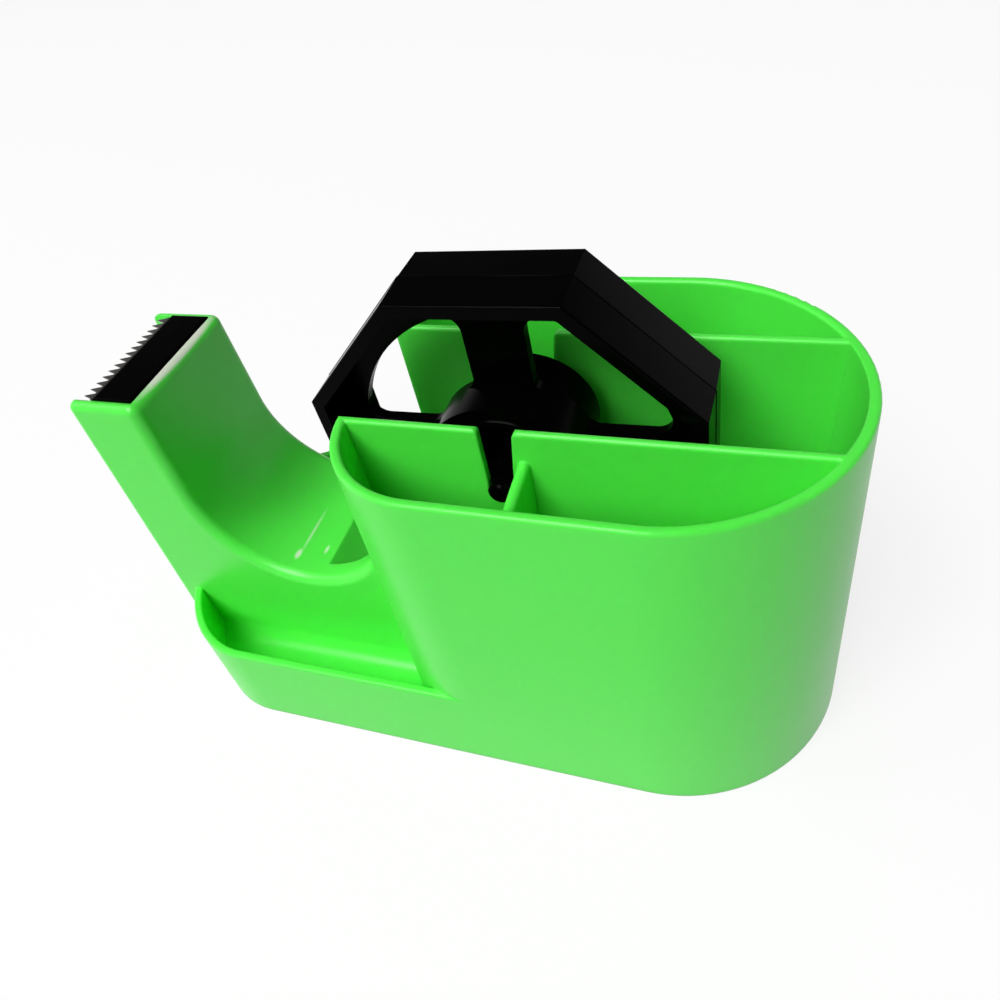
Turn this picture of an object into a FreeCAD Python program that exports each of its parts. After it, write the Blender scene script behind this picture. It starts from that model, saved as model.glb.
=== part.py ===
import FreeCAD, Part
import math
import os

# A desk tape dispenser with a pen cup on each side. One green moulding carries everything: a
# nose with the cutter, a half-round trough where the tape runs free, and a cup whose middle is
# a channel for the roll. An eight-sided reel hangs in the channel on a loose axle pin.
#
# Millimetres. X runs along the length with the nose at -X, Y runs across, Z is up. The origin
# is on the ground, under the middle of the body.

# Body moulding. "At the base" and "at the rim" matter because the outer walls lean.
BODY_LENGTH = 152.6         # nose front to cup end, at the base
BODY_WIDTH = 70.0           # across the base
BODY_HEIGHT = 78.4          # base edge to rim
DRAFT_DEG = 2.0             # lean of every outer wall
TRAY_END_DEPTH = 26.5       # reach of the tray's rounded end; the cup's end is a half circle
OUTER_WALL = 1.8            # cup and tray walls at their top edge
CUP_LENGTH = 89.8           # cup face towards the nose to cup end, at the base
CUP_CORNER = 20.0           # corner radius of that face
NOSE_DEPTH = 17.0           # front to back of the nose, at the rim
STEM_WIDTH = 32.6           # across the nose and stem, at the rim
NOSE_CORNER = 1.6           # rounding of the nose's front corners
NOSE_TOP_ROUND = 1.6        # rounding of the nose's top edges
TROUGH_ROUND = 2.2          # rounding of the edges along both sides of the trough
RIM_ROUND = 0.6             # rounding of the cup's rim, inside and outside
TRAY_ROUND = 0.5            # the same on the tray's rim
TRAY_HEIGHT = 22.4          # tray rim above the base edge
TRAY_SETBACK = 0.5          # the tray end stands this far behind the nose front
FLOOR_HEIGHT = 7.1          # tray and pocket floors above the base edge
FLOOR_THICKNESS = 2.0       # skins under floors, trough and well
TROUGH_DROP = 45.6          # rim to the lowest line of the trough
CORNER_FILL = 4.0           # inside rounding where the stem meets cup and tray floor

# Roll channel, axle slots and pocket dividers
CHANNEL_WIDTH = 26.1
CHANNEL_WALL = 1.5
WELL_RADIUS = 57.0          # floor under the roll, round the axle
AXLE_TO_CUP_END = 61.2      # along the base
AXLE_DROP = 13.3            # rim to axle
POCKET_LEAN_DEG = 0.5       # pockets close in by this towards their floors
DIVIDER_OFFSET = 5.0        # axle to the middle of the divider
DIVIDER_THICKNESS = 2.0
DIVIDER_DROP = 6.0          # rim to the divider's rounded top, at the channel wall
DIVIDER_FALL = 0.11         # how far the top falls for each millimetre towards the outer wall
SLOT_FLARE = 1.6            # lean of an axle slot's back edge, from the axle up to the rim
SLOT_ROUND = 1.0            # rounding of the slot's corners at the rim

# Underside: a plate in a rebate, a weight on it, four pads
PLATE_THICKNESS = 2.0
PLATE_CLEARANCE = 0.15
REBATE_WALL = 1.8           # base edge wall outside the plate
PLATE_LEDGE = 1.4           # width of the step that the plate seats on
WEIGHT_HEIGHT = 20.0
WEIGHT_LENGTH = 30.0
WEIGHT_CLEARANCE = 1.0
WEIGHT_CORNER = 2.0
PAD_DIAMETER = 10.0
PAD_THICKNESS = 1.6
PAD_PROUD = 0.4             # pads stand below the base edge by this
PAD_INSET_X = 26.0          # pad centre to the end of the body
PAD_INSET_Y = 13.0          # pad centre to the side of the body

# Axle pin and reel. The reel is a spool for 1 inch cores inside an adapter for 3 inch cores.
PIN_DIAMETER = 4.4
PIN_PROUD = 1.5             # pin end outside each channel wall
PIN_CHAMFER = 0.4
PIN_SLOT_CLEARANCE = 0.1    # each side, in the slot's neck
PIN_SEAT_CLEARANCE = 0.25   # all round, in the slot's seat
PIN_BORE_CLEARANCE = 0.05   # all round, in the spool
SPOOL_DIAMETER = 25.2
SPOOL_LENGTH = 19.0
SPOOL_WALL = 1.8
BOSS_DIAMETER = 10.0
BOSS_PROUD = 1.9            # boss beyond each end of the spool
SIDE_PLAY = 0.16            # front boss to the channel wall
DRUM_ACROSS = 75.0          # across the eight corners at the drum's faces, for a 3 inch core
DRUM_DEPTH = 16.0
DRUM_WALL = 2.3
DRUM_CREST = 0.15           # rise of the sides to the line where the mould parts
SLEEVE_WALL = 2.3
SLEEVE_CLEARANCE = 0.1      # all round, on the spool
REEL_WEB = 2.0              # web thickness of drum and spool
SPOKE_WIDTH = 10.8
WINDOW_MARGIN = 2.9         # drum wall to the windows' outer arc, at the middle of a side
WINDOW_CORNER = 3.0
REEL_ROUND = 0.4            # rounding of the drum's edges, and bevel on the spool's
DRUM_TURN_DEG = 1.0         # how far the reel has turned where it came to rest
DRUM_SIDES = 8

# Cutter on the nose
INSERT_WIDTH = 28.6
INSERT_LENGTH = 9.5
INSERT_HEIGHT = 4.6
INSERT_CLEARANCE = 0.1
INSERT_PROUD = 0.4          # top of the insert above the rim
BACK_RAIL = 1.9             # moulding left behind the insert
INSERT_ROUND = 0.4          # rounding of the insert's top edges
BLADE_THICKNESS = 0.4
BLADE_SINK = 0.5            # blade below the top of the insert
BLADE_GRIP = 6.0            # length of blade held in the insert
BLADE_REACH = 1.0           # plain strip of blade between the insert and its teeth
BLADE_MARGIN = 0.3          # insert beyond each end of the blade's groove
BLADE_CLEARANCE = 0.05      # each end, in the groove
TOOTH_PITCH = 1.98
TOOTH_HEIGHT = 2.3

PAST = 1.0                  # how far a cutting shape runs past the face that it opens
NEAR = 0.01                 # reach within which an edge counts as lying at a place

BASE_Z = PAD_PROUD
RIM_Z = BASE_Z + BODY_HEIGHT
FLOOR_Z = BASE_Z + FLOOR_HEIGHT
TRAY_Z = BASE_Z + TRAY_HEIGHT
PLATE_TOP_Z = BASE_Z + PLATE_THICKNESS
LEAN = math.tan(math.radians(DRAFT_DEG))
RIM_INSET = BODY_HEIGHT * LEAN
NOSE_FRONT_X = -BODY_LENGTH / 2
CUP_END_X = BODY_LENGTH / 2
CUP_FACE_X = CUP_END_X - CUP_LENGTH
NOSE_BACK_X = NOSE_FRONT_X + RIM_INSET + NOSE_DEPTH
STEM_BASE_WIDTH = STEM_WIDTH + 2 * RIM_INSET
TROUGH_RADIUS = (CUP_FACE_X - NOSE_BACK_X) / 2
TROUGH_X = (CUP_FACE_X + NOSE_BACK_X) / 2
TROUGH_Z = RIM_Z - TROUGH_DROP + TROUGH_RADIUS
AXLE_X = CUP_END_X - AXLE_TO_CUP_END
AXLE_Z = RIM_Z - AXLE_DROP
CHANNEL_SIDE = CHANNEL_WIDTH / 2
SPOOL_FRONT_Y = -CHANNEL_SIDE + SIDE_PLAY + BOSS_PROUD


def point(x, y, z):
    return FreeCAD.Vector(x, y, z)


def round_corner(start, corner, end):
    """Rounding of a corner between start and end: an arc, or part of an ellipse on uneven legs."""
    leg = (start - corner).Length
    if abs(leg - (end - corner).Length) < NEAR / 10:
        towards = (start + end) * 0.5 - corner
        half = math.acos(towards.Length / leg)
        depth = leg * (1 - math.sin(half)) / math.cos(half)
        return Part.Arc(start, corner + towards.normalize() * depth, end).toShape()
    curve = Part.BezierCurve()
    curve.setPoles([start, corner, end])
    curve.setWeight(2, math.sqrt(0.5))
    return curve.toShape()


def line(start, end):
    return Part.makeLine(start, end)


def inset_at(z):
    """How far the outer walls have leant in at height z."""
    return (z - BASE_Z) * LEAN


def taper(wire_at, low, high):
    """A solid whose outline is wire_at(z) at its low and high ends."""
    return Part.makeLoft([wire_at(low), wire_at(high)], True, True)


def prism_y(edges, low_y, high_y):
    """Edges drawn at y = 0 as a closed outline, drawn out from low_y to high_y."""
    face = Part.Face(Part.Wire(edges))
    face.translate(point(0, low_y, 0))
    return face.extrude(point(0, high_y - low_y, 0))


def rod_y(radius, low_y, high_y, x=AXLE_X, z=AXLE_Z):
    return Part.makeCylinder(radius, high_y - low_y, point(x, low_y, z), point(0, 1, 0))


def box(low, high):
    return Part.makeBox(high.x - low.x, high.y - low.y, high.z - low.z, low)


def level_edges(shape, z):
    """The edges that lie flat at height z."""
    return [edge for edge in shape.Edges
            if abs(edge.BoundBox.ZMin - z) < NEAR and abs(edge.BoundBox.ZMax - z) < NEAR]


def block_with_round_rim(wire_at, top, radius):
    block = taper(wire_at, BASE_Z, top)
    return block.makeFillet(radius, level_edges(block, top))


def with_round_mouths(tool, z, radius, sides_only=False):
    """The tool hung from a slab at height z, so that it also rounds the rims of its openings."""
    slab = box(point(-BODY_LENGTH, -BODY_WIDTH, z), point(BODY_LENGTH, BODY_WIDTH, z + PAST))
    tool = slab.fuse(tool).removeSplitter()
    rims = [edge for edge in level_edges(tool, z) if edge.Length < 2 * BODY_WIDTH - NEAR]
    if sides_only:
        rims = [edge for edge in rims if edge.BoundBox.YLength < NEAR]
    return tool.makeFillet(radius, rims)


# Outlines, each at height z and moved in by shrink

def cup_end(side, z):
    """The half circle that ends cup and body, between walls that stand at y = -side and side."""
    x = CUP_END_X - BODY_WIDTH / 2
    return Part.Arc(point(x, -side, z), point(x + side, 0, z), point(x, side, z)).toShape()


def body_outline(z, shrink=0.0):
    inset = inset_at(z) + shrink
    side = BODY_WIDTH / 2 - inset
    left = NOSE_FRONT_X + TRAY_SETBACK + inset
    left_turn = NOSE_FRONT_X + TRAY_SETBACK + TRAY_END_DEPTH
    right_turn = CUP_END_X - BODY_WIDTH / 2
    return Part.Wire([
        line(point(left_turn, -side, z), point(right_turn, -side, z)),
        cup_end(side, z),
        line(point(right_turn, side, z), point(left_turn, side, z)),
        round_corner(point(left_turn, side, z), point(left, side, z), point(left, 0, z)),
        round_corner(point(left, 0, z), point(left, -side, z), point(left_turn, -side, z)),
    ])


def cup_outline_at(z, inset, shrink):
    """The cup's face towards the nose stays upright; its sides and end lean with the body."""
    side = BODY_WIDTH / 2 - inset - shrink
    left = CUP_FACE_X + shrink
    left_turn = CUP_FACE_X + CUP_CORNER
    right_turn = CUP_END_X - BODY_WIDTH / 2
    flat = BODY_WIDTH / 2 - inset - CUP_CORNER
    return Part.Wire([
        line(point(left_turn, -side, z), point(right_turn, -side, z)),
        cup_end(side, z),
        line(point(right_turn, side, z), point(left_turn, side, z)),
        round_corner(point(left_turn, side, z), point(left, side, z), point(left, flat, z)),
        line(point(left, flat, z), point(left, -flat, z)),
        round_corner(point(left, -flat, z), point(left, -side, z), point(left_turn, -side, z)),
    ])


def cup_outline(z):
    return cup_outline_at(z, inset_at(z), 0.0)


def pocket_outline(z):
    """Inside of the cup: one wall in at the rim, and closing in towards the floor."""
    closing = (RIM_Z - z) * math.tan(math.radians(POCKET_LEAN_DEG))
    return cup_outline_at(z, RIM_INSET, OUTER_WALL + closing)


def stem_outline(z, shrink=0.0):
    """Nose and stem, running on into the cup."""
    inset = inset_at(z) + shrink
    side = STEM_BASE_WIDTH / 2 - inset
    front = NOSE_FRONT_X + inset
    back = CUP_FACE_X + CHANNEL_WALL
    turn_x = front + NOSE_CORNER
    turn_y = side - NOSE_CORNER
    return Part.Wire([
        line(point(turn_x, -side, z), point(back, -side, z)),
        line(point(back, -side, z), point(back, side, z)),
        line(point(back, side, z), point(turn_x, side, z)),
        round_corner(point(turn_x, side, z), point(front, side, z), point(front, turn_y, z)),
        line(point(front, turn_y, z), point(front, -turn_y, z)),
        round_corner(point(front, -turn_y, z), point(front, -side, z), point(turn_x, -side, z)),
    ])


def corner_fill_outline(z, hand):
    """Inside rounding between the stem's side and the cup's face, in plan."""
    stem_side = STEM_BASE_WIDTH / 2 - inset_at(z)
    flat = BODY_WIDTH / 2 - inset_at(z) - CUP_CORNER
    out = stem_side + CORNER_FILL
    rise = out - flat
    cup_x = CUP_FACE_X + CUP_CORNER - math.sqrt(CUP_CORNER ** 2 - rise ** 2)
    start = point(CUP_FACE_X - CORNER_FILL, hand * stem_side, z)
    corner = point(cup_x, hand * stem_side, z)
    end = point(cup_x, hand * out, z)
    inner = hand * (stem_side - CORNER_FILL)
    back = CUP_FACE_X + CORNER_FILL
    return Part.Wire([
        round_corner(start, corner, end),
        line(end, point(back, hand * out, z)),
        line(point(back, hand * out, z), point(back, inner, z)),
        line(point(back, inner, z), point(start.x, inner, z)),
        line(point(start.x, inner, z), start),
    ])


def cove(hand, block):
    """Rounding along the foot of the stem, where its side meets a tray's floor."""
    foot = STEM_BASE_WIDTH / 2 - inset_at(FLOOR_Z)
    x = NOSE_FRONT_X
    low = FLOOR_Z - PAST
    high = FLOOR_Z + CORNER_FILL * math.cos(math.radians(DRAFT_DEG))
    top = STEM_BASE_WIDTH / 2 - inset_at(high)
    outer = point(x, hand * (foot + CORNER_FILL), FLOOR_Z)
    upper = point(x, hand * top, high)
    below = point(x, outer.y, low)
    inner_low = point(x, hand * (top - PAST), low)
    inner_high = point(x, hand * (top - PAST), high)
    outline = Part.Wire([
        round_corner(outer, point(x, hand * foot, FLOOR_Z), upper),
        line(upper, inner_high),
        line(inner_high, inner_low),
        line(inner_low, below),
        line(below, outer),
    ])
    bar = Part.Face(outline).extrude(point(CUP_FACE_X + CORNER_FILL - x, 0, 0))
    return bar.common(block)


def trough_tool(cup, skin=0.0):
    """All that is open above the trough, from the nose's back to the cup. A skin keeps clear of it."""
    radius = TROUGH_RADIUS + skin
    top = RIM_Z + PAST
    left_top = point(TROUGH_X - radius, 0, top)
    left = point(TROUGH_X - radius, 0, TROUGH_Z)
    bottom = point(TROUGH_X, 0, TROUGH_Z - radius)
    right = point(TROUGH_X + radius, 0, TROUGH_Z)
    far = point(CUP_FACE_X + CUP_CORNER, 0, TROUGH_Z)
    far_top = point(far.x, 0, top)
    edges = [
        line(left_top, left),
        Part.Arc(left, bottom, right).toShape(),
        line(right, far),
        line(far, far_top),
        line(far_top, left_top),
    ]
    return prism_y(edges, -BODY_WIDTH / 2, BODY_WIDTH / 2).cut(cup)


def roll_space(skin=0.0):
    """Round space for the roll about the axle, open upwards."""
    side = CHANNEL_SIDE + skin
    radius = WELL_RADIUS + skin
    above = box(point(AXLE_X - radius, -side, AXLE_Z), point(AXLE_X + radius, side, RIM_Z + PAST))
    return rod_y(radius, -side, side).fuse(above)


def channel_tool():
    """The roll's space, kept inside the cup's outer wall."""
    well_bottom = AXLE_Z - WELL_RADIUS
    inside_cup = taper(pocket_outline, well_bottom - PAST, RIM_Z + PAST)
    reach = AXLE_X - WELL_RADIUS - PAST
    towards_nose = box(point(reach, -BODY_WIDTH / 2, 0),
                       point(CUP_FACE_X + CUP_CORNER / 2, BODY_WIDTH / 2, RIM_Z + 2 * PAST))
    return roll_space().common(inside_cup.fuse(towards_nose))


def divider(hand):
    """A wall across one pocket. Its rounded top falls towards the outer wall."""
    start = CHANNEL_SIDE + CHANNEL_WALL
    reach = BODY_WIDTH / 2 - start
    radius = DIVIDER_THICKNESS / 2
    front = AXLE_X + DIVIDER_OFFSET - radius
    back = front + DIVIDER_THICKNESS
    top = RIM_Z - DIVIDER_DROP
    y = hand * start
    foot = -DIVIDER_FALL * reach
    edges = [
        line(point(back, y, foot), point(front, y, foot)),
        line(point(front, y, foot), point(front, y, top - radius)),
        Part.Arc(point(front, y, top - radius), point(front + radius, y, top),
                 point(back, y, top - radius)).toShape(),
        line(point(back, y, top - radius), point(back, y, foot)),
    ]
    return Part.Face(Part.Wire(edges)).extrude(point(0, hand * reach, -DIVIDER_FALL * reach))


def pocket_tool():
    """Both pockets, each with its divider left standing."""
    inside = taper(pocket_outline, FLOOR_Z, RIM_Z + PAST)
    wall_side = CHANNEL_SIDE + CHANNEL_WALL
    middle = box(point(-BODY_LENGTH, -wall_side, 0), point(BODY_LENGTH, wall_side, RIM_Z + 2 * PAST))
    return inside.cut(middle.fuse([divider(-1), divider(1)]))


def tray_tool(standing):
    """The open space of both trays, round what stands between them."""
    inside = taper(lambda z: body_outline(z, OUTER_WALL), FLOOR_Z, TRAY_Z + PAST)
    return with_round_mouths(inside, TRAY_Z, TRAY_ROUND).cut(standing)


def slot_tool():
    """The axle slots in both walls: a round seat, an upright front edge and a back edge that leans."""
    neck = PIN_DIAMETER / 2 + PIN_SLOT_CLEARANCE
    seat = PIN_DIAMETER / 2 + PIN_SEAT_CLEARANCE
    front = AXLE_X - neck
    back = AXLE_X + neck + SLOT_FLARE
    low = RIM_Z - SLOT_ROUND
    top = RIM_Z + PAST
    back_low = back - SLOT_FLARE * SLOT_ROUND / AXLE_DROP
    edges = [
        line(point(front, 0, AXLE_Z), point(AXLE_X + neck, 0, AXLE_Z)),
        line(point(AXLE_X + neck, 0, AXLE_Z), point(back_low, 0, low)),
        round_corner(point(back_low, 0, low), point(back, 0, RIM_Z), point(back + SLOT_ROUND, 0, RIM_Z)),
        line(point(back + SLOT_ROUND, 0, RIM_Z), point(back + SLOT_ROUND, 0, top)),
        line(point(back + SLOT_ROUND, 0, top), point(front - SLOT_ROUND, 0, top)),
        line(point(front - SLOT_ROUND, 0, top), point(front - SLOT_ROUND, 0, RIM_Z)),
        round_corner(point(front - SLOT_ROUND, 0, RIM_Z), point(front, 0, RIM_Z), point(front, 0, low)),
        line(point(front, 0, low), point(front, 0, AXLE_Z)),
    ]
    past_wall = CHANNEL_SIDE + CHANNEL_WALL + PAST
    return prism_y(edges, -past_wall, past_wall).fuse(rod_y(seat, -past_wall, past_wall))


def insert_back_x():
    return NOSE_BACK_X - BACK_RAIL


def insert_floor_z():
    return RIM_Z + INSERT_PROUD - INSERT_HEIGHT


def recess_tool(skin=0.0):
    """Seat for the cutter insert, open at the top and to the front."""
    side = INSERT_WIDTH / 2 + INSERT_CLEARANCE + skin
    return box(point(NOSE_FRONT_X - PAST, -side, insert_floor_z() - skin),
               point(insert_back_x() + INSERT_CLEARANCE + skin, side, RIM_Z + PAST))


def nose_and_stem(cup):
    """Nose and stem with the trough cut, and the edges rounded along the trough and the nose's top."""
    fills = [taper(lambda z, hand=hand: corner_fill_outline(z, hand), BASE_Z, RIM_Z)
             for hand in (-1, 1)]
    solid = taper(stem_outline, BASE_Z, RIM_Z).fuse(fills).cut(trough_tool(cup)).removeSplitter()
    side = STEM_WIDTH / 2 - NEAR
    trough_edges = [edge for edge in solid.Edges
                    if NOSE_BACK_X - NEAR < edge.BoundBox.XMin < CUP_FACE_X - NEAR
                    and edge.BoundBox.XMax < CUP_FACE_X + NEAR
                    and edge.BoundBox.ZMin > TROUGH_Z - TROUGH_RADIUS - NEAR
                    and min(abs(edge.BoundBox.YMin), abs(edge.BoundBox.YMax)) > side]
    solid = solid.makeFillet(TROUGH_ROUND, trough_edges)
    top_edges = [edge for edge in solid.Edges
                 if edge.BoundBox.ZMin > RIM_Z - NEAR and edge.BoundBox.XMax < NOSE_BACK_X + NEAR]
    return solid.makeFillet(NOSE_TOP_ROUND, top_edges)


def plate_recess():
    """Rebate for the base plate and the shallow space above its ledge."""
    rebate = taper(lambda z: body_outline(z, REBATE_WALL), BASE_Z - PAST, PLATE_TOP_Z)
    ledge_shrink = REBATE_WALL + PLATE_LEDGE
    space = taper(lambda z: body_outline(z, ledge_shrink), BASE_Z, FLOOR_Z - FLOOR_THICKNESS)
    return rebate.fuse(space)


def stem_hollow(cup):
    """Inside of nose and stem, a skin away from trough, well and cutter seat."""
    low = PLATE_TOP_Z + FLOOR_THICKNESS / 2
    hollow = taper(lambda z: stem_outline(z, FLOOR_THICKNESS), low, RIM_Z - FLOOR_THICKNESS)
    cup_side = box(point(CUP_FACE_X - FLOOR_THICKNESS, -BODY_WIDTH, 0),
                   point(CUP_END_X, BODY_WIDTH, RIM_Z + PAST))
    for keep in (trough_tool(cup, FLOOR_THICKNESS), roll_space(FLOOR_THICKNESS),
                 recess_tool(FLOOR_THICKNESS), cup_side):
        hollow = hollow.cut(keep)
    return hollow


def body_shell():
    cup = block_with_round_rim(cup_outline, RIM_Z, RIM_ROUND)
    tray_block = block_with_round_rim(body_outline, TRAY_Z, TRAY_ROUND)
    coves = [cove(hand, tray_block) for hand in (-1, 1)]
    standing = nose_and_stem(cup).fuse([cup] + coves)
    body = tray_block.cut(tray_tool(standing)).fuse(standing)
    pockets = with_round_mouths(pocket_tool(), RIM_Z, RIM_ROUND)
    channel = with_round_mouths(channel_tool(), RIM_Z, RIM_ROUND, sides_only=True)
    for tool in (pockets, channel, slot_tool(), recess_tool(), plate_recess(), stem_hollow(cup)):
        body = body.cut(tool)
    return body.removeSplitter()


def base_plate():
    shrink = REBATE_WALL + PLATE_CLEARANCE
    plate = taper(lambda z: body_outline(z, shrink), BASE_Z, PLATE_TOP_Z)
    for x, y in pad_centres():
        seat = Part.makeCylinder(PAD_DIAMETER / 2, PAD_THICKNESS - PAD_PROUD, point(x, y, BASE_Z))
        plate = plate.cut(seat)
    return plate


def pad_centres():
    x = BODY_LENGTH / 2 - PAD_INSET_X
    y = BODY_WIDTH / 2 - PAD_INSET_Y
    return [(-x, -y), (x, -y), (-x, y), (x, y)]


def foot_pad(x, y):
    return Part.makeCylinder(PAD_DIAMETER / 2, PAD_THICKNESS, point(x, y, 0))


def nose_weight():
    """A block that holds the nose down while tape is torn off."""
    side = STEM_WIDTH / 2 - FLOOR_THICKNESS - WEIGHT_CLEARANCE
    start = NOSE_FRONT_X + RIM_INSET + FLOOR_THICKNESS + WEIGHT_CLEARANCE
    block = box(point(start, -side, PLATE_TOP_Z),
                point(start + WEIGHT_LENGTH, side, PLATE_TOP_Z + WEIGHT_HEIGHT))
    uprights = [edge for edge in block.Edges if edge.BoundBox.ZLength > WEIGHT_HEIGHT / 2]
    return block.makeFillet(WEIGHT_CORNER, uprights)


def axle_pin():
    reach = CHANNEL_SIDE + CHANNEL_WALL + PIN_PROUD
    pin = rod_y(PIN_DIAMETER / 2, -reach, reach)
    rims = [edge for edge in pin.Edges if edge.BoundBox.YLength < PIN_CHAMFER]
    return pin.makeChamfer(PIN_CHAMFER, rims)


def core_spool():
    """Spool for a 1 inch core: a tube and a middle web on a boss that the pin runs through."""
    front = SPOOL_FRONT_Y
    back = front + SPOOL_LENGTH
    middle = (front + back) / 2
    radius = SPOOL_DIAMETER / 2
    tube = rod_y(radius, front, back).cut(rod_y(radius - SPOOL_WALL, front - PAST, back + PAST))
    tube = tube.makeChamfer(REEL_ROUND, [edge for edge in tube.Edges if edge.BoundBox.YLength < NEAR])
    web = rod_y(radius - SPOOL_WALL / 2, middle - REEL_WEB / 2, middle + REEL_WEB / 2)
    boss = rod_y(BOSS_DIAMETER / 2, front - BOSS_PROUD, back + BOSS_PROUD)
    bore = rod_y(PIN_DIAMETER / 2 + PIN_BORE_CLEARANCE, front - 2 * BOSS_PROUD, back + 2 * BOSS_PROUD)
    return tube.fuse([web, boss]).cut(bore).removeSplitter()


def octagon(apothem, y):
    """The drum's outline at depth y, with one of its sides on top."""
    radius = apothem / math.cos(math.pi / DRUM_SIDES)
    angles = [(2 * index + 1) * math.pi / DRUM_SIDES for index in range(DRUM_SIDES + 1)]
    return Part.makePolygon([point(AXLE_X + radius * math.cos(angle), y, AXLE_Z + radius * math.sin(angle))
                             for angle in angles])


def octagon_block(front_apothem, back_apothem, front_y, back_y):
    return Part.makeLoft([octagon(front_apothem, front_y), octagon(back_apothem, back_y)], True, True)


def drum_windows(outer_radius, sleeve_radius, front, back):
    """Four openings through the web, between four spokes."""
    ring = rod_y(outer_radius, front, back).cut(rod_y(sleeve_radius, front, back))
    half = SPOKE_WIDTH / 2
    reach = DRUM_ACROSS
    upright = box(point(AXLE_X - half, front, AXLE_Z - reach), point(AXLE_X + half, back, AXLE_Z + reach))
    level = box(point(AXLE_X - reach, front, AXLE_Z - half), point(AXLE_X + reach, back, AXLE_Z + half))
    windows = ring.cut(upright.fuse(level))
    depth_edges = [edge for edge in windows.Edges if edge.BoundBox.YLength > (back - front) / 2]
    return windows.makeFillet(WINDOW_CORNER, depth_edges)


def tape_drum():
    """Adapter for a 3 inch core: an eight-sided drum, whose front sleeve slides over the spool."""
    front = SPOOL_FRONT_Y
    back = front + DRUM_DEPTH
    middle = (front + back) / 2
    web_front, web_back = middle - REEL_WEB / 2, middle + REEL_WEB / 2
    side = DRUM_ACROSS / 2 * math.cos(math.pi / DRUM_SIDES)
    crest = side + DRUM_CREST
    inner = side - DRUM_WALL
    sleeve_bore = SPOOL_DIAMETER / 2 + SLEEVE_CLEARANCE
    sleeve_radius = sleeve_bore + SLEEVE_WALL
    shell = octagon_block(side, crest, front, middle).fuse(octagon_block(crest, side, middle, back))
    rims = [edge for edge in shell.Edges
            if edge.BoundBox.YMax < front + NEAR or edge.BoundBox.YMin > back - NEAR]
    shell = shell.makeFillet(REEL_ROUND, rims)
    ring = shell.cut(octagon_block(inner, inner, front - PAST, back + PAST))
    web_edge = inner + DRUM_WALL / 2
    web = octagon_block(web_edge, web_edge, web_front, web_back)
    web = web.cut(drum_windows(inner - WINDOW_MARGIN, sleeve_radius, middle - REEL_WEB, middle + REEL_WEB))
    drum = ring.fuse([web, rod_y(sleeve_radius, front, web_back)])
    drum = drum.cut(rod_y(sleeve_bore, front - PAST, back + PAST)).removeSplitter()
    drum.rotate(point(AXLE_X, 0, AXLE_Z), point(0, 1, 0), -DRUM_TURN_DEG)
    return drum


def blade_z():
    return RIM_Z + INSERT_PROUD - BLADE_SINK


def insert_front_x():
    return insert_back_x() - INSERT_LENGTH


def cutter_insert():
    """Black block that holds the blade in a groove along its front."""
    side = INSERT_WIDTH / 2
    back = insert_back_x()
    top = RIM_Z + INSERT_PROUD
    front = insert_front_x()
    block = box(point(front, -side, insert_floor_z()), point(back, side, top))
    block = block.makeFillet(INSERT_ROUND, level_edges(block, top))
    groove_side = side - BLADE_MARGIN
    groove = box(point(front - PAST, -groove_side, blade_z() - BLADE_THICKNESS),
                 point(front + BLADE_GRIP, groove_side, blade_z()))
    return block.cut(groove)


def cutter_blade():
    """Steel strip with a row of pointed teeth."""
    half = INSERT_WIDTH / 2 - BLADE_MARGIN - BLADE_CLEARANCE
    tooth_count = int(2 * half / TOOTH_PITCH)
    first = -tooth_count * TOOTH_PITCH / 2
    root = insert_front_x() - BLADE_REACH
    held = insert_front_x() + BLADE_GRIP
    z = blade_z() - BLADE_THICKNESS
    corners = [
        point(root, half, z), point(held, half, z),
        point(held, -half, z), point(root, -half, z), point(root, first, z),
    ]
    for index in range(tooth_count):
        start = first + index * TOOTH_PITCH
        corners.append(point(root - TOOTH_HEIGHT, start + TOOTH_PITCH / 2, z))
        corners.append(point(root, start + TOOTH_PITCH, z))
    face = Part.Face(Part.makePolygon(corners + corners[:1]))
    return face.extrude(point(0, 0, BLADE_THICKNESS))


def main():
    parts = {
        "body_shell": body_shell(),
        "base_plate": base_plate(),
        "nose_weight": nose_weight(),
        "axle_pin": axle_pin(),
        "core_spool": core_spool(),
        "tape_drum": tape_drum(),
        "cutter_insert": cutter_insert(),
        "cutter_blade": cutter_blade(),
    }
    for number, (x, y) in enumerate(pad_centres(), start=1):
        parts[f"foot_pad_{number}"] = foot_pad(x, y)
    os.makedirs("parts", exist_ok=True)
    for name, shape in parts.items():
        shape.exportStep(f"parts/{name}.step")
        print(name, shape.ShapeType, len(shape.Solids), "valid", shape.isValid(), round(shape.Volume, 1))


main()
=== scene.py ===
import math
import bpy
from mathutils import Matrix, Vector


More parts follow.
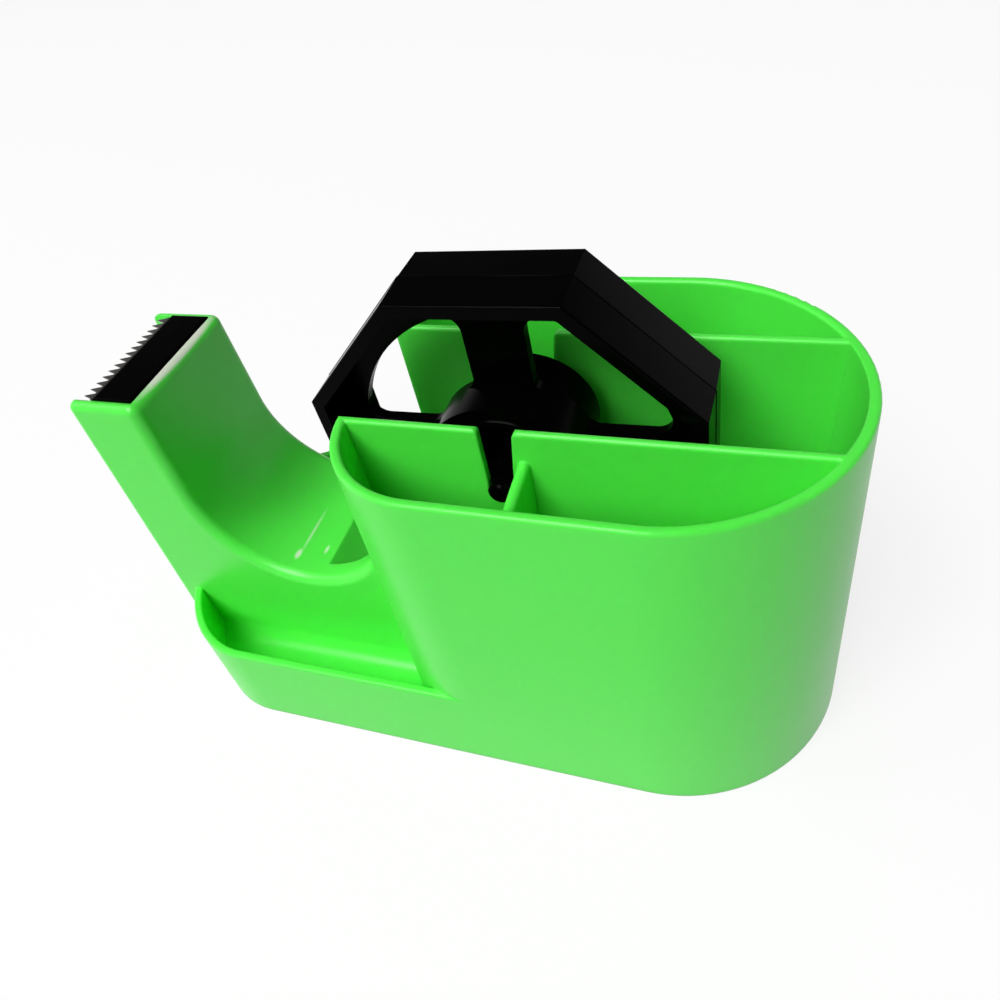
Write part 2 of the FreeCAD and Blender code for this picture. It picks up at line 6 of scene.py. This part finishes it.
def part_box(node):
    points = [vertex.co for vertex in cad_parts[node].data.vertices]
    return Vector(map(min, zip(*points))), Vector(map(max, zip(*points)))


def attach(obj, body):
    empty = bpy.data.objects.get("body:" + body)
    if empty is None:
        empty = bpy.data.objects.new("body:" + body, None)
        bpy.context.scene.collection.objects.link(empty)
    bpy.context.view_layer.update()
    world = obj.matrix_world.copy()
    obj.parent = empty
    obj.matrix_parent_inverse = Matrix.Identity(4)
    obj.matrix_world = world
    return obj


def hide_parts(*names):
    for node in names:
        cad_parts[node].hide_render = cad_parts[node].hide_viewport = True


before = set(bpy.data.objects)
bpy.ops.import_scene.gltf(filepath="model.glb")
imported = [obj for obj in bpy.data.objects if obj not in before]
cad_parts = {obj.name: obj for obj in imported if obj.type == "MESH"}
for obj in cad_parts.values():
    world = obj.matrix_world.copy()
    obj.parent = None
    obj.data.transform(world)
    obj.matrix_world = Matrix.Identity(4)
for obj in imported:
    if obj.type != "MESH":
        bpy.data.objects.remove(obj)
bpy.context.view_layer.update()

# Body moulding: nose, stem, trough, pen cups and trays in one shot of bright green high-impact
# polystyrene. It comes off a polished mould, so it is glossy with a faint ripple, and its thin
# walls let some light through. Pale streaks are painted across the trough's creases, and a pale
# painted highlight runs along the rounded top of the nose's rail.
MM = 0.001
GREEN_DEEP = "#50EA48"
GREEN_LIT = "#58F04E"
# pale colour of the painted streaks and of the painted highlight
GREEN_STREAK_AND_HIGHLIGHT = "#DCF0D2"
GREEN_GLOSS = (0.29, 0.36)    # roughness of its smoothest and its dullest patches
GREEN_SPECULAR = 0.38
WALL_GLOW = 0.35              # share of the light that goes into the wall and comes out again
WALL_GLOW_TINT = (0.15, 1.0, 0.15)
WALL_GLOW_REACH = 2.5 * MM
FLOW_SIZE = 38 * MM           # shade drift along the melt's flow
RIPPLE_SIZE = 9 * MM          # slow ripple of a moulded wall
RIPPLE_DEPTH = 0.05 * MM
PEEL_SIZE = 0.9 * MM          # fine ripple of the polished steel
PEEL_DEPTH = 0.004 * MM
EDGE_RADIUS = 0.7 * MM        # softness of the edges that catch the light
PALE_STREAKS_AND_HIGHLIGHT_MM = (                   # middle and reach of each painted pale streak and of the painted highlight, and how pale it is
    # three pale streaks painted across the trough's creases
    ((-40.4, -12.0, 35.0), (0.8, 1.9, 3.0), 1.6),
    ((-40.0, -5.0, 35.0), (0.5, 9.0, 3.0), 0.8),
    ((-34.6, -9.2, 34.5), (0.6, 1.6, 4.0), 1.2),
    # a painted highlight along the rounded top of the nose's rail
    ((-57.8, 1.5, 78.8), (1.4, 16.0, 1.6), 2.4),
)


def linear(code):
    """An sRGB hex colour as linear red, green, blue and full alpha."""
    channels = [int(code[i:i + 2], 16) / 255 for i in (1, 3, 5)]
    return [c / 12.92 if c <= 0.04045 else ((c + 0.055) / 1.055) ** 2.4 for c in channels] + [1.0]


def add_node(tree, kind, settings=None, links=None):
    """Adds a node, gives its properties or input sockets their settings, and links its inputs."""
    node = tree.nodes.new(kind)
    for name, value in (settings or {}).items():
        if isinstance(name, str) and name not in node.inputs:
            setattr(node, name, value)
        else:
            node.inputs[name].default_value = value
    for name, socket in (links or {}).items():
        tree.links.new(socket, node.inputs[name])
    return node


def new_material(name):
    """An empty node material and its tree."""
    material = bpy.data.materials.new(name)
    material.use_nodes = True
    material.node_tree.nodes.clear()
    return material, material.node_tree


def dress(obj, material):
    """Gives an object this material alone."""
    obj.data.materials.clear()
    obj.data.materials.append(material)


green, tree = new_material("green_polystyrene_gloss_moulded")
place = add_node(tree, "ShaderNodeTexCoord").outputs["Object"]
flow = add_node(tree, "ShaderNodeTexNoise",
                {"Scale": 1 / FLOW_SIZE, "Detail": 3.0, "Roughness": 0.45}, {"Vector": place})
shade = add_node(tree, "ShaderNodeMix",
                 {"data_type": "RGBA", 6: linear(GREEN_DEEP), 7: linear(GREEN_LIT)},
                 {"Factor": flow.outputs["Fac"]})
streaks_and_highlight = None
for middle, reach, paleness in PALE_STREAKS_AND_HIGHLIGHT_MM:
    near = add_node(tree, "ShaderNodeMapping",
                    {"Location": tuple(-at / far for at, far in zip(middle, reach)),
                     "Scale": tuple(1 / (far * MM) for far in reach)},
                    {"Vector": place})
    spot = add_node(tree, "ShaderNodeTexGradient", {"gradient_type": "SPHERICAL"},
                    {"Vector": near.outputs["Vector"]})
    earlier = {2: streaks_and_highlight.outputs[0]} if streaks_and_highlight else {}
    streaks_and_highlight = add_node(tree, "ShaderNodeMath",
                      {"operation": "MULTIPLY_ADD", "use_clamp": True, 1: paleness, 2: 0.0},
                      {0: spot.outputs["Fac"], **earlier})
# lays the painted pale streaks and the painted highlight over the green
streaked_and_highlit = add_node(tree, "ShaderNodeMix", {"data_type": "RGBA", 7: linear(GREEN_STREAK_AND_HIGHLIGHT)},
                {"Factor": streaks_and_highlight.outputs[0], 6: shade.outputs[2]})
ripple = add_node(tree, "ShaderNodeTexNoise", {"Scale": 1 / RIPPLE_SIZE, "Detail": 1.0},
                  {"Vector": place})
peel = add_node(tree, "ShaderNodeTexNoise", {"Scale": 1 / PEEL_SIZE, "Detail": 2.0},
                {"Vector": place})
rough = add_node(tree, "ShaderNodeMapRange", {"To Min": GREEN_GLOSS[0], "To Max": GREEN_GLOSS[1]},
                 {"Value": ripple.outputs["Fac"]})
edges = add_node(tree, "ShaderNodeBevel", {"samples": 8, "Radius": EDGE_RADIUS})
slow = add_node(tree, "ShaderNodeBump", {"Strength": 0.12, "Distance": RIPPLE_DEPTH},
                {"Height": ripple.outputs["Fac"], "Normal": edges.outputs["Normal"]})
fine = add_node(tree, "ShaderNodeBump", {"Strength": 0.08, "Distance": PEEL_DEPTH},
                {"Height": peel.outputs["Fac"], "Normal": slow.outputs["Normal"]})
plastic = add_node(tree, "ShaderNodeBsdfPrincipled",
                   {"IOR": 1.55, "Specular IOR Level": GREEN_SPECULAR,
                    "Subsurface Weight": WALL_GLOW, "Subsurface Radius": WALL_GLOW_TINT,
                    "Subsurface Scale": WALL_GLOW_REACH},
                   {"Base Color": streaked_and_highlit.outputs[2], "Roughness": rough.outputs["Result"],
                    "Normal": fine.outputs["Normal"]})
add_node(tree, "ShaderNodeOutputMaterial", links={"Surface": plastic.outputs["BSDF"]})
dress(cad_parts["body_shell"], green)

# Base plate: a flat black ABS plate in the rebate of the underside. It is moulded against a
# spark-eroded face, so it is matte with a fine grain.
PLATE_BLACK = "#161617"
GRAIN_SIZE = 0.6 * MM
GRAIN_DEPTH = 0.03 * MM
matte, tree = new_material("black_abs_matte_moulded")
place = add_node(tree, "ShaderNodeTexCoord").outputs["Object"]
grain = add_node(tree, "ShaderNodeTexVoronoi", {"Scale": 1 / GRAIN_SIZE}, {"Vector": place})
grained = add_node(tree, "ShaderNodeBump", {"Strength": 0.4, "Distance": GRAIN_DEPTH},
                   {"Height": grain.outputs["Distance"]})
tone = add_node(tree, "ShaderNodeMapRange", {"To Min": 0.45, "To Max": 0.62},
                {"Value": grain.outputs["Distance"]})
plastic = add_node(tree, "ShaderNodeBsdfPrincipled",
                   {"Base Color": linear(PLATE_BLACK), "IOR": 1.53},
                   {"Roughness": tone.outputs["Result"], "Normal": grained.outputs["Normal"]})
add_node(tree, "ShaderNodeOutputMaterial", links={"Surface": plastic.outputs["BSDF"]})
dress(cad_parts["base_plate"], matte)

# Nose weight: a plain block of grey cast iron, as it left the sand, lying in the closed nose.
# The sand leaves it dull and pitted.
IRON_GREY = "#5A5856"
SAND_GRIT = 0.8 * MM
PIT_DEPTH = 0.1 * MM
iron, tree = new_material("grey_cast_iron_as_cast")
place = add_node(tree, "ShaderNodeTexCoord").outputs["Object"]
sand = add_node(tree, "ShaderNodeTexNoise", {"Scale": 1 / SAND_GRIT, "Detail": 6.0},
                {"Vector": place})
skin = add_node(tree, "ShaderNodeBump", {"Strength": 0.6, "Distance": PIT_DEPTH},
                {"Height": sand.outputs["Fac"]})
metal = add_node(tree, "ShaderNodeBsdfPrincipled",
                 {"Base Color": linear(IRON_GREY), "Metallic": 1.0, "Roughness": 0.62},
                 {"Normal": skin.outputs["Normal"]})
add_node(tree, "ShaderNodeOutputMaterial", links={"Surface": metal.outputs["BSDF"]})
dress(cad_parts["nose_weight"], iron)

# Foot pads: four discs of black nitrile rubber glued in the seats of the base plate.
# They are punched from sheet, dull and a little dusty.
RUBBER_BLACK = "#1B1B1A"
DUST_SIZE = 0.5 * MM
DUST_DEPTH = 0.02 * MM
rubber, tree = new_material("black_nitrile_rubber_matte")
place = add_node(tree, "ShaderNodeTexCoord").outputs["Object"]
dust = add_node(tree, "ShaderNodeTexNoise", {"Scale": 1 / DUST_SIZE, "Detail": 4.0},
                {"Vector": place})
dusty = add_node(tree, "ShaderNodeBump", {"Strength": 0.5, "Distance": DUST_DEPTH},
                 {"Height": dust.outputs["Fac"]})
pad = add_node(tree, "ShaderNodeBsdfPrincipled",
               {"Base Color": linear(RUBBER_BLACK), "Roughness": 0.78, "IOR": 1.52},
               {"Normal": dusty.outputs["Normal"]})
add_node(tree, "ShaderNodeOutputMaterial", links={"Surface": pad.outputs["BSDF"]})
for number in (1, 2, 3, 4):
    dress(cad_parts[f"foot_pad_{number}"], rubber)

# Axle, spool and cutter insert: black ABS, each from its own polished mould, so they are glossy
# with a slow ripple, and almost nothing shows of them but their glints.
MOULDED_BLACK = "#020202"
BLACK_SPECULAR = 0.02         # so deep a black that it mirrors little of a white room
BLACK_GLOSS = (0.14, 0.24)
WAVE_SIZE = 7 * MM
WAVE_DEPTH = 0.05 * MM
black, tree = new_material("black_abs_gloss_moulded")
place = add_node(tree, "ShaderNodeTexCoord").outputs["Object"]
wave = add_node(tree, "ShaderNodeTexNoise", {"Scale": 1 / WAVE_SIZE, "Detail": 2.0},
                {"Vector": place})
wavy = add_node(tree, "ShaderNodeBump", {"Strength": 0.3, "Distance": WAVE_DEPTH},
                {"Height": wave.outputs["Fac"]})
sheen = add_node(tree, "ShaderNodeMapRange", {"To Min": BLACK_GLOSS[0], "To Max": BLACK_GLOSS[1]},
                 {"Value": wave.outputs["Fac"]})
plastic = add_node(tree, "ShaderNodeBsdfPrincipled",
                   {"Base Color": linear(MOULDED_BLACK), "IOR": 1.5,
                    "Specular IOR Level": BLACK_SPECULAR},
                   {"Roughness": sheen.outputs["Result"], "Normal": wavy.outputs["Normal"]})
add_node(tree, "ShaderNodeOutputMaterial", links={"Surface": plastic.outputs["BSDF"]})
for name in ("core_spool", "axle_pin", "cutter_insert"):
    dress(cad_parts[name], black)

# Tape drum: the same black ABS in two mould halves that part at the middle of its depth. They
# leave a thin line of flash round the eight sides, and the gate leaves a small stub.
DRUM_SIDES = 8
DRUM_TURN = math.radians(1.0)             # how far the reel has turned where it came to rest
HALF_SIDE_TURN = math.pi / DRUM_SIDES     # puts a flat on top, and not a corner
FLASH_REACH = 37.66 * MM                  # axle to the corners of the parting line
FLASH_RADIUS = 0.11 * MM
GATE_AT = (17.4 * MM, -6.6 * MM, 100.05 * MM)
GATE_RADIUS = 0.45 * MM
GATE_HEIGHT = 0.3 * MM
drum_low, drum_high = (Vector(corner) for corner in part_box("tape_drum"))
dress(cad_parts["tape_drum"], black)


def geometry_tree(name, sizes):
    """A Geometry Nodes tree with these named inputs, and the node that gives them."""
    tree = bpy.data.node_groups.new(name, "GeometryNodeTree")
    for label, (kind, value) in sizes.items():
        socket = tree.interface.new_socket(label, in_out="INPUT", socket_type=kind)
        socket.default_value = value
    tree.interface.new_socket("Geometry", in_out="OUTPUT", socket_type="NodeSocketGeometry")
    return tree, tree.nodes.new("NodeGroupInput")


def bake(name, tree, result, material):
    """Ends the tree with real meshes in this material, and makes its result a plain mesh piece."""
    whole = add_node(tree, "GeometryNodeRealizeInstances", links={"Geometry": result})
    dressed = add_node(tree, "GeometryNodeSetMaterial", {"Material": material},
                       {"Geometry": whole.outputs["Geometry"]})
    add_node(tree, "NodeGroupOutput", links={"Geometry": dressed.outputs["Geometry"]})
    piece = bpy.data.objects.new(name, bpy.data.meshes.new(name))
    bpy.context.scene.collection.objects.link(piece)
    modifier = piece.modifiers.new(name, "NODES")
    modifier.node_group = tree
    for item in tree.interface.items_tree:
        if item.in_out == "INPUT":
            modifier[item.identifier] = item.default_value
    ready = piece.evaluated_get(bpy.context.evaluated_depsgraph_get())
    piece.data = bpy.data.meshes.new_from_object(ready)
    piece.data.name = name
    piece.modifiers.clear()
    return piece


tree, size = geometry_tree("parting_flash", {
    "Sides": ("NodeSocketInt", DRUM_SIDES),
    "Reach": ("NodeSocketFloat", FLASH_REACH),
    "Thickness": ("NodeSocketFloat", FLASH_RADIUS)})
ring = add_node(tree, "GeometryNodeCurvePrimitiveCircle",
                links={"Resolution": size.outputs["Sides"], "Radius": size.outputs["Reach"]})
section = add_node(tree, "GeometryNodeCurvePrimitiveCircle", {"Resolution": 6},
                   {"Radius": size.outputs["Thickness"]})
bead = add_node(tree, "GeometryNodeCurveToMesh",
                links={"Curve": ring.outputs["Curve"], "Profile Curve": section.outputs["Curve"]})
turned = add_node(tree, "GeometryNodeTransform",
                  {"Rotation": (0, 0, HALF_SIDE_TURN + DRUM_TURN)},
                  {"Geometry": bead.outputs["Mesh"]})
upright = add_node(tree, "GeometryNodeTransform",
                   {"Rotation": (math.radians(90), 0, 0),
                    "Translation": (drum_low + drum_high) / 2},
                   {"Geometry": turned.outputs["Geometry"]})
flash = bake("drum_parting_flash", tree, upright.outputs["Geometry"], black)
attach(flash, "reel")

tree, size = geometry_tree("gate_stub", {
    "Radius": ("NodeSocketFloat", GATE_RADIUS),
    "Height": ("NodeSocketFloat", GATE_HEIGHT)})
stub = add_node(tree, "GeometryNodeMeshCylinder", {"Vertices": 16},
                {"Radius": size.outputs["Radius"], "Depth": size.outputs["Height"]})
seated = add_node(tree, "GeometryNodeTransform", {"Translation": GATE_AT},
                  {"Geometry": stub.outputs["Mesh"]})
gate = bake("drum_gate_stub", tree, seated.outputs["Geometry"], black)
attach(gate, "reel")

# Cutter blade: a strip of spring steel, stamped with a row of teeth that are ground thin towards
# their points. It is polished, so it shows dark and bright at once, and is pressed into the insert.
STEEL_GREY = "#A7A49E"
STEEL_GLOSS = (0.16, 0.25)
ROLL_LINE_SPACING = 1.2 * MM  # lines that rolling leaves along the strip
ROLL_LINE_STRETCH = 12.0
TOOTH_COUNT = 14
TOOTH_PITCH = 1.98 * MM
TOOTH_BREADTH = 1.86 * MM
TOOTH_HEIGHT = 2.3 * MM
TOOTH_OVERLAP = 0.3 * MM      # how far a tooth's block runs into the strip
POINT_BREADTH = 0.05          # share of a tooth's breadth left at its point
POINT_THICKNESS = 0.4         # share of its thickness left there
steel, tree = new_material("spring_steel_stamped_polished")
place = add_node(tree, "ShaderNodeTexCoord").outputs["Object"]
drawn = add_node(tree, "ShaderNodeMapping", {"Scale": (1.0, ROLL_LINE_STRETCH, 1.0)},
                 {"Vector": place})
lines = add_node(tree, "ShaderNodeTexNoise", {"Scale": 1 / ROLL_LINE_SPACING, "Detail": 3.0},
                 {"Vector": drawn.outputs["Vector"]})
rolled = add_node(tree, "ShaderNodeMapRange",
                  {"To Min": STEEL_GLOSS[0], "To Max": STEEL_GLOSS[1]},
                  {"Value": lines.outputs["Fac"]})
metal = add_node(tree, "ShaderNodeBsdfPrincipled",
                 {"Base Color": linear(STEEL_GREY), "Metallic": 1.0},
                 {"Roughness": rolled.outputs["Result"]})
add_node(tree, "ShaderNodeOutputMaterial", links={"Surface": metal.outputs["BSDF"]})

blade_low, blade_high = (Vector(corner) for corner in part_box("cutter_blade"))
blade_length, blade_breadth, blade_thickness = blade_high - blade_low
blade_middle_z = (blade_low.z + blade_high.z) / 2
half_tooth = TOOTH_HEIGHT / 2 + TOOTH_OVERLAP / 2
tree, size = geometry_tree("tooth_row", {
    "Teeth": ("NodeSocketInt", TOOTH_COUNT),
    "Pitch": ("NodeSocketFloat", TOOTH_PITCH),
    "Tooth Size": ("NodeSocketVector",
                   (TOOTH_HEIGHT + TOOTH_OVERLAP, TOOTH_BREADTH, blade_thickness)),
    "Strip Size": ("NodeSocketVector",
                   (blade_length - TOOTH_HEIGHT, blade_breadth, blade_thickness))})
block = add_node(tree, "GeometryNodeMeshCube", {"Vertices X": 2},
                 {"Size": size.outputs["Tooth Size"]})
corner = add_node(tree, "GeometryNodeInputPosition")
at = add_node(tree, "ShaderNodeSeparateXYZ", links={"Vector": corner.outputs["Position"]})
narrow = add_node(tree, "ShaderNodeMapRange",
                  {"From Min": -half_tooth, "From Max": half_tooth, "To Min": POINT_BREADTH},
                  {"Value": at.outputs["X"]})
thin = add_node(tree, "ShaderNodeMapRange",
                {"From Min": -half_tooth, "From Max": half_tooth, "To Min": POINT_THICKNESS},
                {"Value": at.outputs["X"]})
breadth = add_node(tree, "ShaderNodeMath", {"operation": "MULTIPLY"},
                   {0: at.outputs["Y"], 1: narrow.outputs["Result"]})
thickness = add_node(tree, "ShaderNodeMath", {"operation": "MULTIPLY"},
                     {0: at.outputs["Z"], 1: thin.outputs["Result"]})
pointed = add_node(tree, "ShaderNodeCombineXYZ",
                   links={"X": at.outputs["X"], "Y": breadth.outputs[0],
                          "Z": thickness.outputs[0]})
tooth = add_node(tree, "GeometryNodeSetPosition",
                 links={"Geometry": block.outputs["Mesh"], "Position": pointed.outputs["Vector"]})
half_row = add_node(tree, "ShaderNodeMath", {"operation": "MULTIPLY_ADD", 1: -0.5, 2: 0.5},
                    {0: size.outputs["Teeth"]})
first_y = add_node(tree, "ShaderNodeMath", {"operation": "MULTIPLY"},
                   {0: half_row.outputs[0], 1: size.outputs["Pitch"]})
first = add_node(tree, "ShaderNodeCombineXYZ", links={"Y": first_y.outputs[0]})
step = add_node(tree, "ShaderNodeCombineXYZ", links={"Y": size.outputs["Pitch"]})
row = add_node(tree, "GeometryNodeMeshLine", {"mode": "OFFSET"},
               {"Count": size.outputs["Teeth"], "Start Location": first.outputs["Vector"],
                "Offset": step.outputs["Vector"]})
teeth = add_node(tree, "GeometryNodeInstanceOnPoints",
                 links={"Points": row.outputs["Mesh"], "Instance": tooth.outputs["Geometry"]})
placed = add_node(tree, "GeometryNodeTransform",
                  {"Translation": (blade_low.x + half_tooth, 0, blade_middle_z)},
                  {"Geometry": teeth.outputs["Instances"]})
strip = add_node(tree, "GeometryNodeMeshCube", links={"Size": size.outputs["Strip Size"]})
gripped = add_node(tree, "GeometryNodeTransform",
                   {"Translation": ((blade_low.x + TOOTH_HEIGHT + blade_high.x) / 2, 0,
                                    blade_middle_z)},
                   {"Geometry": strip.outputs["Mesh"]})
solid = add_node(tree, "GeometryNodeMeshBoolean", {"operation": "UNION"})
tree.links.new(gripped.outputs["Geometry"], solid.inputs["Mesh 2"])
tree.links.new(placed.outputs["Geometry"], solid.inputs["Mesh 2"])
blade = bake("toothed_blade", tree, solid.outputs["Mesh"], steel)
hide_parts("cutter_blade")
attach(blade, "body")

# Floor: a sheet of pale matte card that the dispenser stands on, with a faint fibre in it.
# It reads white and keeps the dispenser's shadow.
CARD_SEEN = "#F4F4F4"
CARD_AS_LIGHT = "#B4B4B4"     # what it throws back at the dispenser
FLOOR_REACH = 6.0
FLOOR_GLOW = 0.8              # share of the card's white that owes nothing to the lamps
FIBRE_SIZE = 2.5 * MM
FIBRE_DEPTH = 0.1 * MM
card, tree = new_material("pale_card_matte")
place = add_node(tree, "ShaderNodeTexCoord").outputs["Object"]
fibre = add_node(tree, "ShaderNodeTexNoise", {"Scale": 1 / FIBRE_SIZE, "Detail": 3.0},
                 {"Vector": place})
relief = add_node(tree, "ShaderNodeBump", {"Strength": 0.05, "Distance": FIBRE_DEPTH},
                  {"Height": fibre.outputs["Fac"]})


def seen_directly(tree):
    """1 for what the camera sees, straight or through gloss and glass, and 0 for other light."""
    path = add_node(tree, "ShaderNodeLightPath")
    shiny = add_node(tree, "ShaderNodeMath", {"operation": "MAXIMUM"},
                     {0: path.outputs["Is Glossy Ray"], 1: path.outputs["Is Transmission Ray"]})
    seen = add_node(tree, "ShaderNodeMath", {"operation": "MAXIMUM"},
                    {0: path.outputs["Is Camera Ray"], 1: shiny.outputs[0]})
    return seen.outputs[0]


seen = seen_directly(tree)
tint = add_node(tree, "ShaderNodeMix",
                {"data_type": "RGBA", 6: linear(CARD_AS_LIGHT), 7: linear(CARD_SEEN)},
                {"Factor": seen})
paper = add_node(tree, "ShaderNodeBsdfPrincipled", {"Roughness": 0.9, "Specular IOR Level": 0.1},
                 {"Base Color": tint.outputs[2], "Normal": relief.outputs["Normal"]})
glow = add_node(tree, "ShaderNodeEmission", {"Strength": 1.0})
share = add_node(tree, "ShaderNodeMath", {"operation": "MULTIPLY", 1: FLOOR_GLOW}, {0: seen})
card_face = add_node(tree, "ShaderNodeMixShader",
                     links={0: share.outputs[0], 1: paper.outputs["BSDF"],
                            2: glow.outputs["Emission"]})
add_node(tree, "ShaderNodeOutputMaterial", links={"Surface": card_face.outputs["Shader"]})
mesh = bpy.data.meshes.new("floor")
mesh.from_pydata([(x * FLOOR_REACH, y * FLOOR_REACH, 0)
                  for x, y in ((-1, -1), (1, -1), (1, 1), (-1, 1))], [], [(0, 1, 2, 3)])
floor = bpy.data.objects.new("floor", mesh)
bpy.context.scene.collection.objects.link(floor)
dress(floor, card)

# Light: a dim white room, a large soft box above the front, one high on the left, and two low
# ones, beside the nose and before the cup. The camera sees the room white all over. Gloss sees
# it white only as a low wall round the horizon, so that black parts stay black.
WALL_FULL_TO = 0.12           # height up to which the wall is white, as the sine of its angle
WALL_GONE_AT = 0.34
ROOM_LIGHT = 0.1              # what the room itself gives the dispenser
LAMPS_AIM_AT = Vector((0, 0, 0.04))
LAMP_DISTANCE = 3.0
world = bpy.data.worlds.new("white_room")
bpy.context.scene.world = world
world.use_nodes = True
tree = world.node_tree
tree.nodes.clear()
sight = add_node(tree, "ShaderNodeTexCoord")
height = add_node(tree, "ShaderNodeSeparateXYZ", links={"Vector": sight.outputs["Generated"]})
wall = add_node(tree, "ShaderNodeMapRange",
                {"From Min": WALL_FULL_TO, "From Max": WALL_GONE_AT, "To Min": 1.0, "To Max": 0.0},
                {"Value": height.outputs["Z"]})
mirrored = add_node(tree, "ShaderNodeMath", {"operation": "MULTIPLY"},
                    {0: wall.outputs["Result"], 1: seen_directly(tree)})
path = add_node(tree, "ShaderNodeLightPath")
bright = add_node(tree, "ShaderNodeMath", {"operation": "MAXIMUM"},
                  {0: mirrored.outputs[0], 1: path.outputs["Is Camera Ray"]})
level = add_node(tree, "ShaderNodeMapRange", {"To Min": ROOM_LIGHT, "To Max": 1.0},
                 {"Value": bright.outputs[0]})
air = add_node(tree, "ShaderNodeBackground", {"Color": (1, 1, 1, 1)},
               {"Strength": level.outputs["Result"]})
add_node(tree, "ShaderNodeOutputWorld", links={"Surface": air.outputs["Background"]})


def soft_box(name, round_deg, up_deg, width, power):
    """A square lamp that stands at this azimuth and height and faces the dispenser."""
    lamp = bpy.data.lights.new(name, "AREA")
    lamp.shape = "SQUARE"
    lamp.size = width
    lamp.energy = power
    obj = bpy.data.objects.new(name, lamp)
    turn, rise = math.radians(round_deg), math.radians(up_deg)
    away = Vector((math.cos(turn) * math.cos(rise), math.sin(turn) * math.cos(rise),
                   math.sin(rise)))
    obj.location = LAMPS_AIM_AT + away * LAMP_DISTANCE
    obj.rotation_euler = away.to_track_quat("Z", "Y").to_euler()
    bpy.context.scene.collection.objects.link(obj)


soft_box("soft_box_front", round_deg=250, up_deg=54, width=1.7, power=76.0)
soft_box("soft_box_high_left", round_deg=225, up_deg=68, width=1.5, power=20.0)
soft_box("soft_box_low_left", round_deg=190, up_deg=30, width=1.5, power=16.0)
soft_box("soft_box_low_front", round_deg=262, up_deg=32, width=1.2, power=4.0)

# Camera: held by hand a little above the front right, close to the dispenser and looking down
# at it, slightly tilted.
CAMERA_AT = Vector((0.059291, -0.101996, 0.161863))
YAW, PITCH, ROLL = -0.475996, 0.789914, -0.244184     # in radians
LENS_MM = 28.42
SENSOR_MM = 36.0
CLIP_START = 0.005
forward = Vector((math.sin(YAW) * math.cos(PITCH), math.cos(YAW) * math.cos(PITCH),
                  -math.sin(PITCH)))
level_right = Vector((math.cos(YAW), -math.sin(YAW), 0))
level_up = level_right.cross(forward)
right = level_right * math.cos(ROLL) + level_up * math.sin(ROLL)
up = level_up * math.cos(ROLL) - level_right * math.sin(ROLL)
lens = bpy.data.cameras.new("camera")
lens.lens = LENS_MM
lens.sensor_width = SENSOR_MM
lens.clip_start = CLIP_START
camera = bpy.data.objects.new("camera", lens)
turn = Matrix((right, up, -forward)).transposed().to_4x4()
camera.matrix_world = Matrix.Translation(CAMERA_AT) @ turn
bpy.context.scene.collection.objects.link(camera)
bpy.context.scene.camera = camera
bpy.context.scene.view_settings.view_transform = "Standard"
